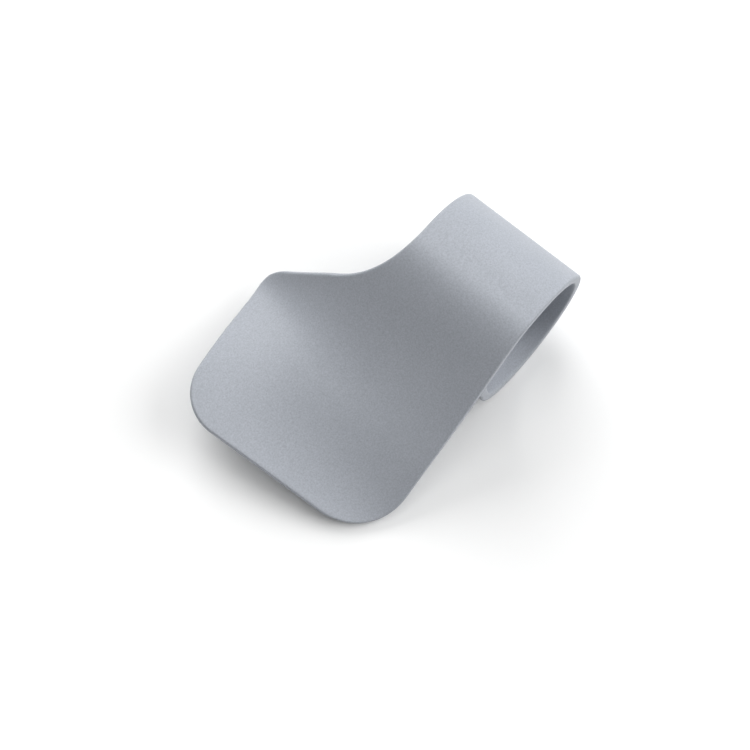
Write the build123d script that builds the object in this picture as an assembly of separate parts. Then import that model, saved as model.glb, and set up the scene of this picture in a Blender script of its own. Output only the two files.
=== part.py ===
from build123d import *
import os

# Palm-rest clip for a handlebar grip: a springy ring with a palm paddle flowing out of its crown.
# Millimetres. The ring's centre is the origin, +X runs to the paddle's tip, Y is the ring's axis.

# Driving dimensions of the ring
RING_RADIUS = 19.0  # outer skin
WALL = 2.5  # moulded thickness of the ring and the paddle
RING_WIDTH = 33.5  # along the grip
LIP_ANGLE = -12.0  # where the springy arm leaves the circle for its straight lip, in degrees up from +X
LIP_LENGTH = 12.0  # of the straight lip before the paddle's underside trims it
LIP_SLIT = 0.4  # between the lip and the paddle's underside
HINGE_CLEARANCE_ANGLE = 0.15  # between the two halves' faces at the back of the ring, in degrees

# Side profile of the paddle's top surface: each drop is a smooth step along X
NECK_START, NECK_END = 2.5, 40.3  # the steep neck
NECK_SKEW = 0.81  # below 1 the neck turns down quickly and levels out slowly
NECK_DROP = 19.6  # below the crown, across the ring's own width
FLARE_DROP = 11.3  # extra drop at the far side of the flare
FLARE_START, FLARE_END = -11.7, -55.2  # Y range over which the flare drops
FLARE_START_SHIFT, FLARE_END_SHIFT = 0.8, -7.4  # of the neck's two ends, at the far side of the flare
PALM_START, PALM_END = 19.9, 66.0  # the long gentle palm rest
TIP_HEIGHT_NEAR = -18.4  # top surface at the palm's end, on the straight side
TIP_HEIGHT_FAR = -2.3  # and on the side of the raised wing
TIP_SPAN = 60.0  # Y distance between those two heights
TIP_ARCH = 1.2  # rise of the palm's end half way between them

# Corners of the outline seen from above, and the radius that rounds each one
NECK_CORNER, NECK_ROUND = (14.0, -RING_WIDTH / 2), 17.0
SHOULDER_CORNER, SHOULDER_ROUND = (23.95, -47.0), 6.45
WING_CORNER, WING_ROUND = (67.3, -39.5), 11.7
TIP_CORNER, TIP_ROUND = (61.3, RING_WIDTH / 2), 16.3

# Sampling of the paddle's surface before it becomes one smooth face
GRID_STEPS_X, GRID_STEPS_Y = 48, 36
SURFACE_ENDS = (-2.0, 70.0)
SURFACE_SIDES = (-54.0, 20.0)


def smooth_step(value, start, end, skew=1.0):
    """0 before start, 1 after end, and between them a curve that is level and unbent at both."""
    u = min(max((value - start) / (end - start), 0.0), 1.0) ** skew
    return u**3 * (10 - 15 * u + 6 * u * u)


def top_height(x, y):
    """Height of the paddle's top surface."""
    flare = smooth_step(y, FLARE_START, FLARE_END)
    neck = NECK_DROP + FLARE_DROP * flare
    start = NECK_START + FLARE_START_SHIFT * flare
    end = NECK_END + FLARE_END_SHIFT * flare
    across = (RING_WIDTH / 2 - y) / TIP_SPAN
    level = TIP_HEIGHT_NEAR + (TIP_HEIGHT_FAR - TIP_HEIGHT_NEAR) * across
    tip = level + 4 * TIP_ARCH * across * (1 - across)
    steep = neck * smooth_step(x, start, end, NECK_SKEW)
    gentle = (RING_RADIUS - neck - tip) * smooth_step(x, PALM_START, PALM_END)
    return RING_RADIUS - steep - gentle


def even_steps(start, end, count):
    """Evenly spaced values from start to end."""
    return [start + (end - start) * i / count for i in range(count + 1)]


def top_surface():
    """One smooth face through a grid of points on the top surface."""
    xs = even_steps(*SURFACE_ENDS, GRID_STEPS_X)
    ys = even_steps(*SURFACE_SIDES, GRID_STEPS_Y)
    rows = [[Vector(x, y, top_height(x, y)) for y in ys] for x in xs]
    return Face.make_surface_from_array_of_points(rows, tol=0.005, min_deg=3, max_deg=5)


def outline():
    """The paddle seen from above, with its four corners rounded."""
    side = RING_WIDTH / 2
    start = [(0, side), TIP_CORNER, WING_CORNER, SHOULDER_CORNER, NECK_CORNER, (0, -side)]
    face = make_face(Polyline(start, close=True))
    rounds = [
        (TIP_CORNER, TIP_ROUND),
        (WING_CORNER, WING_ROUND),
        (SHOULDER_CORNER, SHOULDER_ROUND),
        (NECK_CORNER, NECK_ROUND),
    ]
    for corner, radius in rounds:
        nearest = face.vertices().sort_by_distance(Vector(*corner, 0))[0]
        face = fillet(nearest, radius)
    return face


def plate(thickness):
    """The top surface given a thickness on its underside."""
    sheet = top_surface()
    if sheet.normal_at().Z > 0:
        sheet = -sheet
    return thicken(sheet, thickness)


def paddle_plate():
    """The paddle: a plate of the wall's thickness, trimmed to the outline."""
    height = 4 * RING_RADIUS
    trim = Pos(0, 0, -height / 2) * extrude(outline(), height)
    return plate(WALL) & trim


def across_grip(profile):
    """A profile drawn in X and Z, extruded along the grip over the ring's width."""
    return Rot(90, 0, 0) * extrude(profile, RING_WIDTH / 2, both=True)


def ring_sector(start_angle, end_angle):
    """Part of the ring's wall between two angles, measured from +X toward +Z."""
    sweep = end_angle - start_angle
    arcs = [CenterArc((0, 0), r, start_angle, sweep) for r in (RING_RADIUS, RING_RADIUS - WALL)]
    ends = [Line(arcs[0] @ t, arcs[1] @ t) for t in (0, 1)]
    return across_grip(make_face(arcs + ends))


def straight_lip():
    """The wall running straight on from the circle at the lip's angle."""
    middle = (RING_RADIUS - WALL / 2, LIP_LENGTH / 2)
    return across_grip(Rot(0, 0, LIP_ANGLE) * Pos(*middle) * Rectangle(WALL, LIP_LENGTH))


def palm_paddle():
    """The paddle with the upper back quarter of the ring."""
    return ring_sector(90, 180 - HINGE_CLEARANCE_ANGLE) + paddle_plate()


def clip_arm():
    """The springy lower arm of the ring, from the back to the lip under the paddle."""
    arm = ring_sector(180, 360 + LIP_ANGLE) + straight_lip()
    pieces = arm - plate(WALL + LIP_SLIT)
    return max(pieces.solids(), key=lambda piece: piece.volume)


os.makedirs("parts", exist_ok=True)
export_step(palm_paddle(), "parts/palm_paddle.step")
export_step(clip_arm(), "parts/clip_arm.step")
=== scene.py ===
import math
import bpy
import numpy as np
from mathutils import Matrix, Vector


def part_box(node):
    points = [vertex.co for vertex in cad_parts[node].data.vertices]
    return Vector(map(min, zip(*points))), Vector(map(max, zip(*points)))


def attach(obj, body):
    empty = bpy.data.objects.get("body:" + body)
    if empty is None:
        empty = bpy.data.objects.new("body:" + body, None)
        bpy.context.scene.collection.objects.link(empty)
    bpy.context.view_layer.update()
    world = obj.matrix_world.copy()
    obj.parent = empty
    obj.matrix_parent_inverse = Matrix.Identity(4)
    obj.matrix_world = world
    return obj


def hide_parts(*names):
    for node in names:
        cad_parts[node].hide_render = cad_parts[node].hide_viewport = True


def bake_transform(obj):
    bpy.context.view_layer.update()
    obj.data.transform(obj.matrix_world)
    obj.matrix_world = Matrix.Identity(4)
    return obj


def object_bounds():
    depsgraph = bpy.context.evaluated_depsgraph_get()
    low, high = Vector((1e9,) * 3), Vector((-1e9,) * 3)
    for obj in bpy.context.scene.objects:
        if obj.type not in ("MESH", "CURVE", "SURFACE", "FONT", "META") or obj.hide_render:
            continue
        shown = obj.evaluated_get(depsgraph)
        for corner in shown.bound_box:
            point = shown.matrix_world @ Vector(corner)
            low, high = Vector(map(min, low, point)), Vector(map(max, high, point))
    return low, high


# A palm-rest clip: a ring whose crown runs out into an S-curved palm paddle. It is made as two
# closed skins with rounded edges, which meet at the ring's lower back and look like one moulding.
# Shapes are worked out in millimetres, in the CAD's frame.

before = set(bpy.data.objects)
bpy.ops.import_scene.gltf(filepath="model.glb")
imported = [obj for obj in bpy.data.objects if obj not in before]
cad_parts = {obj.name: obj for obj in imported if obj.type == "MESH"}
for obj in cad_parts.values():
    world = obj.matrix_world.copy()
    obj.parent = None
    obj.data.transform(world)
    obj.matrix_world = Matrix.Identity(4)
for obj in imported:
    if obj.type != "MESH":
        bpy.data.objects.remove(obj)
cad_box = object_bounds()
MM = 0.001

# The ring, as the CAD has it
RING_RADIUS = -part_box("clip_arm")[0].x / MM
HALF_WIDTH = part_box("clip_arm")[1].y / MM
HALF_WALL = 1.25  # of the ring and the paddle alike
EDGE_ROUND = 0.5  # on both corners of every long edge
LIP_ANGLE = math.radians(-12)  # where the arm leaves the circle for its straight lip
SEAM_ANGLE = math.radians(-135)  # at the lower back, where the arm's skin meets the paddle's
CROWN_ANGLE = math.radians(90)
LIP_REACH = 12.0  # longest that the straight lip could be
LIP_SLIT = 0.15  # between the lip and the paddle's underside
LIP_ROUND = 0.35  # on the edges of the lip's cut end

# The paddle's top surface: each drop is a smooth step along X
NECK = (2.5, 40.3)  # X range of the steep neck
NECK_SKEW = 0.81  # below 1 the neck turns down quickly and levels out slowly
NECK_DROP = 19.6  # below the crown, across the ring's own width
FLARE_DROP = 11.3  # extra drop at the far side of the flare
FLARE = (-11.7, -55.2)  # Y range over which the flare drops
FLARE_SHIFT = (0.8, -7.4)  # of the neck's two ends, at the far side of the flare
PALM = (19.9, 66.0)  # X range of the long gentle palm rest
TIP_HEIGHT_NEAR = -18.4  # top surface at the palm's end, on the straight side
TIP_HEIGHT_FAR = -2.3  # and on the side of the raised wing
TIP_SPAN = 60.0  # Y distance between those two heights
TIP_ARCH = 1.2  # rise of the palm's end half way between them

# The paddle's outline from above: each corner, and the radius that rounds it
CORNERS = [
    ((14.0, -HALF_WIDTH), 17.0),  # neck
    ((23.95, -47.0), 6.45),  # shoulder
    ((67.3, -39.5), 11.7),  # wing
    ((61.3, HALF_WIDTH), 16.3),  # tip
]

# How finely the skins are divided, and the surface searched
RING_ROWS = 96
PADDLE_ROWS = 120
ARM_ROWS = 88
LIP_ROWS = 12
COLUMNS = 72
OUTLINE_ARC_POINTS = 33  # along each rounded corner of the outline
CORNER_STEPS = 4  # round each corner of an edge
RIM_POINTS = 2 * CORNER_STEPS  # between the top face and the underside
LIP_CORNER_STEPS = 3  # round the edges of the lip's cut end
SEAM_EASE = 1.4  # rows crowd together toward the seam, so that its shading doesn't show
FRONT_EASE = 3  # how quickly the rows straighten going up from the curved front
SLOPE_STEP = 0.01  # to each side of the point where a slope is taken
DEPTH_ROUNDS, INSET_ROUNDS, LIP_HALVINGS = 8, 5, 30  # of each search for a place on the surface

# The plastic: slow clouds of two greys, and a grain that flecks and dents them
DARKER_GREY = (0.358, 0.380, 0.420, 1)
LIGHTER_GREY = (0.375, 0.397, 0.438, 1)
CLOUD_SCALE, CLOUD_DETAIL = 60.0, 3.0
GRAIN_SCALE, GRAIN_DETAIL = 2600.0, 2.0
NOISE_ROUGHNESS = 0.6
NOISE_LOW, NOISE_HIGH = 0.3, 0.7  # most of a noise's values lie between these
FLECK_BRIGHTNESS = (0.875, 1.125)
SURFACE_ROUGHNESS = (0.50, 0.58)
GRAIN_STRENGTH, GRAIN_DEPTH = 0.25, 0.04
PLASTIC_IOR = 1.46

# The camera
CAMERA_PLACE = (110.0, 59.6, 317.6)
CAMERA_AZIMUTH, CAMERA_ELEVATION, CAMERA_ROLL = (math.radians(a) for a in (39.94, 72.07, 0.16))
CAMERA_LENS = 67.2
CAMERA_RANGE = (0.01, 20)  # nearest and furthest that it sees, in metres

# The studio, in metres
FLOOR_GAP = 0.00002  # under the clip's lowest point
FLOOR_RADIUS = 1.0
FLOOR_SIDES = 128
PAPER_COLOUR, PAPER_ROUGHNESS = (0.95, 0.953, 0.95, 1), 0.9
ROOM_LIGHT = 0.10  # that the surroundings give
ROOM_PALENESS = 0.85  # of the surroundings as they are seen past the floor's edge
LIGHT_TARGET = (0.03, -0.01, 0)
LIGHT_DISTANCE, LIGHT_SIDE = 2.0, 1.6
SOFTBOXES = [  # azimuth and elevation in degrees, and power in watts
    ("top", 0, 90, 15.5),
    ("right", 135, 35, 28.5),
    ("back", 235, 38, 31.5),
]


# ---- The surface ----

def unit(vectors):
    """The same directions with a length of one."""
    return vectors / np.linalg.norm(vectors, axis=-1, keepdims=True)


def smooth_step(value, start, end, skew=1.0):
    """0 before start, 1 after end, and between them a curve that is level and unbent at both."""
    u = np.clip((value - start) / (end - start), 0, 1) ** skew
    return u**3 * (10 - 15 * u + 6 * u * u)


def top_height(x, y):
    """Height of the paddle's top surface."""
    flare = smooth_step(y, *FLARE)
    neck = NECK_DROP + FLARE_DROP * flare
    start, end = (place + shift * flare for place, shift in zip(NECK, FLARE_SHIFT))
    across = (HALF_WIDTH - y) / TIP_SPAN
    level = TIP_HEIGHT_NEAR + (TIP_HEIGHT_FAR - TIP_HEIGHT_NEAR) * across
    tip = level + 4 * TIP_ARCH * across * (1 - across)
    steep = neck * smooth_step(x, start, end, NECK_SKEW)
    gentle = (RING_RADIUS - neck - tip) * smooth_step(x, *PALM)
    return RING_RADIUS - steep - gentle


def top_normal(x, y):
    """The direction square to the paddle's top surface."""
    step = SLOPE_STEP
    slope_x = (top_height(x + step, y) - top_height(x - step, y)) / (2 * step)
    slope_y = (top_height(x, y + step) - top_height(x, y - step)) / (2 * step)
    return unit(np.stack([-slope_x, -slope_y, np.ones_like(slope_x)], -1))


def paddle_sheet(x, y):
    """The middle of the wall, and the half-thickness from it to the outer skin, at each x and y."""
    normal = top_normal(x, y)
    top = np.stack([x, y, top_height(x, y)], -1)
    return top - HALF_WALL * normal, HALF_WALL * normal


def ring_sheet(angles, ys):
    """The same for rows of points round the ring, each row at one angle up from +X."""
    angle, y = np.meshgrid(angles, ys, indexing="ij")
    outward = np.stack([np.cos(angle), 0 * angle, np.sin(angle)], -1)
    middle = (RING_RADIUS - HALF_WALL) * outward + y[..., None] * np.array([0, 1, 0])
    return middle, HALF_WALL * outward


def depth_below_top(points):
    """How far each point lies under the paddle's top surface, measured square to the surface."""
    x, y, z = points[..., 0], points[..., 1], points[..., 2]
    foot = points
    for _ in range(DEPTH_ROUNDS):
        normal = top_normal(foot[..., 0], foot[..., 1])
        on_top = np.stack([foot[..., 0], foot[..., 1], top_height(foot[..., 0], foot[..., 1])], -1)
        depth = ((on_top - points) * normal).sum(-1)
        foot = points + depth[..., None] * normal
    return depth


def lip_line(radius, ys):
    """One face of the straight lip: where it leaves the circle, and where the paddle stops it."""
    spoke = np.array([math.cos(LIP_ANGLE), 0, math.sin(LIP_ANGLE)])
    along = np.array([-math.sin(LIP_ANGLE), 0, math.cos(LIP_ANGLE)])
    start = radius * spoke + ys[:, None] * np.array([0, 1, 0])
    near, far = np.zeros_like(ys), np.full_like(ys, LIP_REACH)
    for _ in range(LIP_HALVINGS):
        middle = (near + far) / 2
        room = depth_below_top(start + middle[:, None] * along)
        clear = room > 2 * HALF_WALL + LIP_SLIT + LIP_ROUND
        near = np.where(clear, middle, near)
        far = np.where(clear, far, middle)
    return start, start + near[:, None] * along


def lip_sheet(ys):
    """Rows of the lip from its cut end to the circle, leaving out the row on the circle."""
    outer_start, outer_end = lip_line(RING_RADIUS, ys)
    inner_start, inner_end = lip_line(RING_RADIUS - 2 * HALF_WALL, ys)
    share = np.linspace(0, 1, LIP_ROWS + 1)[:-1, None, None]
    outer = outer_end + (outer_start - outer_end) * share
    inner = inner_end + (inner_start - inner_end) * share
    return (outer + inner) / 2, (outer - inner) / 2


# ---- The paddle's outline ----

def rounded_corner(before, corner, after, radius):
    """Points along the arc that rounds one corner of the outline."""
    before, corner, after = (np.array(p, float) for p in (before, corner, after))
    into, out = unit(corner - before), unit(after - corner)
    turn = math.atan2(into[0] * out[1] - into[1] * out[0], into @ out)
    start = corner - into * radius * math.tan(abs(turn) / 2)
    to_centre = math.copysign(radius, turn) * np.array([-into[1], into[0]])
    angle = np.linspace(0, turn, OUTLINE_ARC_POINTS)[:, None]
    sideways = np.array([to_centre[1], -to_centre[0]])
    return start + to_centre - to_centre * np.cos(angle) + sideways * np.sin(angle)


def evenly_along(line, count):
    """The same line as evenly spaced points."""
    steps = np.linalg.norm(np.diff(line, axis=0), axis=1)
    travelled = np.concatenate([[0], np.cumsum(steps)])
    wanted = np.linspace(0, travelled[-1], count + 1)
    return np.stack([np.interp(wanted, travelled, line[:, k]) for k in (0, 1)], -1)


def outline():
    """Left side, front and right side as one line, divided at the middles of the far corners."""
    ends = (0, -HALF_WIDTH), (0, HALF_WIDTH)
    stops = [ends[0]] + [place for place, _ in CORNERS] + [ends[1]]
    neck, shoulder, wing, tip = (
        rounded_corner(*stops[i:i + 3], CORNERS[i][1]) for i in range(len(CORNERS))
    )
    half = len(wing) // 2
    left = np.vstack([[ends[0]], neck, shoulder, wing[:half + 1]])
    front = np.vstack([wing[half:], tip[:half + 1]])
    right = np.vstack([tip[half:], [ends[1]]])
    return np.vstack([
        evenly_along(left, PADDLE_ROWS)[:-1],
        evenly_along(front, COLUMNS),
        evenly_along(right, PADDLE_ROWS)[1:],
    ])


def edge_outward(middle, half):
    """Out of the sheet's edge, square to the edge and to the wall's thickness."""
    return unit(np.cross(np.gradient(middle, axis=0), half))


def rim_profile():
    """Points round an edge from top to bottom: the reach out, and the height in half-walls."""
    turn = np.linspace(0, math.pi / 2, CORNER_STEPS + 1)[1:]
    lift = 1 - EDGE_ROUND / HALF_WALL * (1 - np.cos(turn))
    out = EDGE_ROUND * np.sin(turn)
    return np.concatenate([out, out[::-1]]), np.concatenate([lift, -lift[::-1]])


def inset(edge):
    """Where the top face must end, so that the rounded rim reaches out just to the edge."""
    along = np.gradient(edge, axis=0)
    reach = unit(np.stack([along[:, 1], -along[:, 0]], -1))
    line = edge
    for _ in range(INSET_ROUNDS):
        half = paddle_sheet(line[:, 0], line[:, 1])[1]
        lean = np.abs((half[:, :2] * reach).sum(-1)) * (1 - EDGE_ROUND / HALF_WALL)
        line = edge + half[:, :2] - (EDGE_ROUND + lean)[:, None] * reach
    return line


def paddle_grid():
    """X and Y over the paddle, in rows from the crown to the front."""
    line = inset(outline())
    left = line[:PADDLE_ROWS + 1]
    front = line[PADDLE_ROWS:PADDLE_ROWS + COLUMNS + 1]
    right = line[PADDLE_ROWS + COLUMNS:][::-1]
    down = np.linspace(0, 1, PADDLE_ROWS + 1)[:, None, None]
    across = np.linspace(0, 1, COLUMNS + 1)[None, :, None]
    ruled = left[:, None] * (1 - across) + right[:, None] * across
    bulge = front - ruled[-1]
    return ruled + bulge * down ** FRONT_EASE


# ---- Closed skins ----

class Skin:
    """A sheet given its thickness, with rows from one end to the other and columns across."""

    def __init__(self, middle, half):
        self.middle, self.half = middle, half
        self.points, self.smooth, self.flat = [], [], []
        self.tops = self.add(middle + half)
        self.unders = self.add(middle - half)
        self.stitch(self.tops[:, ::-1])
        self.stitch(self.unders)

    def add(self, points):
        first = len(self.points)
        self.points.extend(points.reshape(-1, 3).tolist())
        return np.arange(first, len(self.points)).reshape(points.shape[:-1])

    def stitch(self, ids):
        """Quads over a grid of point numbers."""
        quads = np.stack([ids[:-1, :-1], ids[:-1, 1:], ids[1:, 1:], ids[1:, :-1]], -1)
        self.smooth.extend(quads.reshape(-1, 4).tolist())

    def rim(self, rows, columns):
        """A rounded edge along a line of the sheet's points; gives its point numbers."""
        middle, half = self.middle[rows, columns], self.half[rows, columns]
        outward = edge_outward(middle, half)
        out, lift = rim_profile()
        swept = middle[:, None] + out[:, None] * outward[:, None] + lift[:, None] * half[:, None]
        ids = np.column_stack([self.tops[rows, columns], self.add(swept), self.unders[rows, columns]])
        self.stitch(ids)
        return ids

    def section(self, row, left, right):
        """Point numbers round the wall's cross-section at one row."""
        return np.concatenate(
            [self.tops[row], right[1:-1], self.unders[row][::-1], left[1:-1][::-1]]
        )

    def cap(self, section, faces_back):
        """Closes a cross-section with flat faces."""
        across = COLUMNS + 1
        tops, unders = section[:across], section[across + RIM_POINTS:2 * across + RIM_POINTS][::-1]
        right = [tops[-1], *section[across:across + RIM_POINTS], unders[-1]]
        left = [unders[0], *section[2 * across + RIM_POINTS:], tops[0]]
        faces = [[tops[j], unders[j], unders[j + 1], tops[j + 1]] for j in range(COLUMNS)]
        faces += [left[::-1], right[::-1]]
        for face in faces:
            numbers = [int(i) for i in face]
            self.flat.append(numbers[::-1] if faces_back else numbers)

    def rounded_end(self, section):
        """A flat cut end at the first row, its edges rounded; gives the flat face's own section."""
        here = np.array([self.points[i] for i in section])
        row, thickness = self.middle[0], self.half[0]
        order = np.concatenate([
            np.arange(COLUMNS + 1),
            np.full(RIM_POINTS, COLUMNS),
            np.arange(COLUMNS + 1)[::-1],
            np.zeros(RIM_POINTS, int),
        ])
        centres = row[order]
        forward = unit(np.cross(thickness, [0, 1, 0]))[order]
        reach = np.linalg.norm(here - centres, axis=1, keepdims=True)
        away = (here - centres) / reach
        loops = [section]
        for angle in np.linspace(0, math.pi / 2, LIP_CORNER_STEPS + 1)[1:]:
            shrunk = reach - LIP_ROUND * (1 - math.cos(angle))
            loops.append(self.add(centres + away * shrunk + LIP_ROUND * math.sin(angle) * forward))
        rings = np.array(loops)
        self.stitch(np.column_stack([rings, rings[:, 0]]))
        return loops[-1]

    def build(self, name):
        """The finished piece: the sheet and its rims are shaded smooth, and its ends flat."""
        mesh = bpy.data.meshes.new(name)
        mesh.from_pydata((np.array(self.points) * MM).tolist(), [], self.smooth + self.flat)
        shading = [True] * len(self.smooth) + [False] * len(self.flat)
        mesh.polygons.foreach_set("use_smooth", shading)
        return add_object(name, mesh)


def join_rows(*sheets):
    """Sheets one after another, as one."""
    return [np.concatenate(parts) for parts in zip(*sheets)]


def eased(start, end, count):
    """Values from start to end that begin closely spaced."""
    return start + (end - start) * np.linspace(0, 1, count + 1) ** SEAM_EASE


def inner_ys():
    """Y of each column of the ring and the lip, inside their rounded edges."""
    return np.linspace(EDGE_ROUND - HALF_WIDTH, HALF_WIDTH - EDGE_ROUND, COLUMNS + 1)


def paddle_skin():
    """From the seam at the lower back, over the crown and out to the paddle's front."""
    angles = eased(SEAM_ANGLE + 2 * math.pi, CROWN_ANGLE, RING_ROWS)[:-1]
    grid = paddle_grid()
    skin = Skin(*join_rows(ring_sheet(angles, inner_ys()), paddle_sheet(grid[..., 0], grid[..., 1])))
    last = skin.middle.shape[0] - 1
    rows = np.concatenate([
        np.arange(last),
        np.full(COLUMNS, last),
        np.arange(last, -1, -1),
    ])
    columns = np.concatenate([
        np.zeros(last, int),
        np.arange(COLUMNS),
        np.full(last + 1, COLUMNS),
    ])
    rim = skin.rim(rows, columns)
    skin.cap(skin.section(0, rim[0], rim[-1]), faces_back=True)
    return skin.build("paddle_skin")


def arm_skin():
    """From the lip's cut end, under the ring and up its back to the seam."""
    angles = eased(SEAM_ANGLE, LIP_ANGLE, ARM_ROWS)[::-1]
    skin = Skin(*join_rows(lip_sheet(inner_ys()), ring_sheet(angles, inner_ys())))
    last = skin.middle.shape[0] - 1
    up = np.arange(last + 1)
    left = skin.rim(up, np.zeros_like(up))
    right = skin.rim(up[::-1], np.full_like(up, COLUMNS))[::-1]
    lip = skin.rounded_end(skin.section(0, left[0], right[0]))
    skin.cap(lip, faces_back=True)
    skin.cap(skin.section(last, left[-1], right[-1]), faces_back=False)
    return skin.build("arm_skin")


# ---- Material ----

def noise(tree, scale, detail):
    """Noise that stays with the piece; its scale is in cells to a metre."""
    place = tree.nodes.new("ShaderNodeTexCoord")
    node = tree.nodes.new("ShaderNodeTexNoise")
    node.inputs["Scale"].default_value = scale
    node.inputs["Detail"].default_value = detail
    node.inputs["Roughness"].default_value = NOISE_ROUGHNESS
    tree.links.new(place.outputs["Object"], node.inputs["Vector"])
    return node.outputs["Fac"]


def spread(tree, source, low, high):
    """A noise stretched to run from low to high."""
    node = tree.nodes.new("ShaderNodeMapRange")
    node.inputs["From Min"].default_value = NOISE_LOW
    node.inputs["From Max"].default_value = NOISE_HIGH
    node.inputs["To Min"].default_value = low
    node.inputs["To Max"].default_value = high
    tree.links.new(source, node.inputs["Value"])
    return node.outputs["Result"]


def pigment(tree, cloud, grain):
    """The plastic's colour."""
    ramp = tree.nodes.new("ShaderNodeValToRGB")
    darker, lighter = ramp.color_ramp.elements
    darker.position, darker.color = NOISE_LOW, DARKER_GREY
    lighter.position, lighter.color = NOISE_HIGH, LIGHTER_GREY
    tree.links.new(cloud, ramp.inputs["Fac"])
    fleck = tree.nodes.new("ShaderNodeMix")
    fleck.data_type = "RGBA"
    fleck.blend_type = "MULTIPLY"
    fleck.inputs["Factor"].default_value = 1.0
    tree.links.new(ramp.outputs["Color"], fleck.inputs["A"])
    tree.links.new(spread(tree, grain, *FLECK_BRIGHTNESS), fleck.inputs["B"])
    return fleck.outputs["Result"]


def dents(tree, grain):
    """The grain's relief."""
    bump = tree.nodes.new("ShaderNodeBump")
    bump.inputs["Strength"].default_value = GRAIN_STRENGTH
    bump.inputs["Distance"].default_value = GRAIN_DEPTH * MM
    tree.links.new(grain, bump.inputs["Height"])
    return bump.outputs["Normal"]


def moulded_grey():
    """Matte cool-grey plastic with the fine grain of a spark-eroded mould."""
    material = bpy.data.materials.new("moulded_grey")
    material.use_nodes = True
    tree = material.node_tree
    shader = tree.nodes["Principled BSDF"]
    shader.inputs["IOR"].default_value = PLASTIC_IOR
    cloud = noise(tree, CLOUD_SCALE, CLOUD_DETAIL)
    grain = noise(tree, GRAIN_SCALE, GRAIN_DETAIL)
    tree.links.new(pigment(tree, cloud, grain), shader.inputs["Base Color"])
    tree.links.new(spread(tree, cloud, *SURFACE_ROUGHNESS), shader.inputs["Roughness"])
    tree.links.new(dents(tree, grain), shader.inputs["Normal"])
    return material


# ---- Studio ----

def add_object(name, data):
    """A new object in the scene."""
    made = bpy.data.objects.new(name, data)
    bpy.context.scene.collection.objects.link(made)
    return made


def direction(azimuth, elevation):
    """The unit vector that points that way, from angles in radians."""
    return Vector((
        math.cos(azimuth) * math.cos(elevation),
        math.sin(azimuth) * math.cos(elevation),
        math.sin(elevation),
    ))


def floor():
    """A round sheet of pale paper."""
    mesh = bpy.data.meshes.new("floor")
    height = cad_box[0].z - FLOOR_GAP
    turns = [2 * math.pi * i / FLOOR_SIDES for i in range(FLOOR_SIDES)]
    edge = [(FLOOR_RADIUS * math.cos(turn), FLOOR_RADIUS * math.sin(turn), height) for turn in turns]
    mesh.from_pydata(edge, [], [range(FLOOR_SIDES)])
    paper = bpy.data.materials.new("paper")
    paper.use_nodes = True
    shader = paper.node_tree.nodes["Principled BSDF"]
    shader.inputs["Base Color"].default_value = PAPER_COLOUR
    shader.inputs["Roughness"].default_value = PAPER_ROUGHNESS
    mesh.materials.append(paper)
    add_object("floor", mesh)


def softbox(name, azimuth, elevation, power):
    """A square light that faces the clip."""
    toward = direction(math.radians(azimuth), math.radians(elevation))
    light = bpy.data.lights.new(name, "AREA")
    light.size = LIGHT_SIDE
    light.energy = power
    made = add_object(name, light)
    made.location = Vector(LIGHT_TARGET) + LIGHT_DISTANCE * toward
    made.rotation_euler = (-toward).to_track_quat("-Z", "Y").to_euler()


def surroundings():
    """A dim white room that looks pale where the floor ends."""
    world = bpy.data.worlds.new("studio")
    world.use_nodes = True
    nodes, links = world.node_tree.nodes, world.node_tree.links
    seen = nodes.new("ShaderNodeLightPath")
    strength = nodes.new("ShaderNodeMapRange")
    strength.inputs["To Min"].default_value = ROOM_LIGHT
    strength.inputs["To Max"].default_value = ROOM_PALENESS
    links.new(seen.outputs["Is Camera Ray"], strength.inputs["Value"])
    links.new(strength.outputs["Result"], nodes["Background"].inputs["Strength"])
    nodes["Background"].inputs["Color"].default_value = (1, 1, 1, 1)
    bpy.context.scene.world = world


def camera():
    """The camera, high up on the side of the paddle's tip."""
    back = direction(CAMERA_AZIMUTH, CAMERA_ELEVATION)
    right = Vector((-math.sin(CAMERA_AZIMUTH), math.cos(CAMERA_AZIMUTH), 0))
    level = Matrix((right, back.cross(right), back)).transposed().to_4x4()
    data = bpy.data.cameras.new("camera")
    data.lens = CAMERA_LENS
    data.clip_start, data.clip_end = CAMERA_RANGE
    made = add_object("camera", data)
    made.matrix_world = (
        Matrix.Translation(Vector(CAMERA_PLACE) * MM) @ level @ Matrix.Rotation(CAMERA_ROLL, 4, "Z")
    )
    bpy.context.scene.camera = made


# ---- The scene ----


camera()
surroundings()
floor()
for box in SOFTBOXES:
    softbox(*box)
plastic = moulded_grey()

paddle = paddle_skin()
paddle.data.materials.append(plastic)
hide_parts("palm_paddle")
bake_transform(paddle)

arm = arm_skin()
arm.data.materials.append(plastic)
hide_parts("clip_arm")
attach(arm, "arm")

bpy.context.scene.view_settings.view_transform = "Standard"
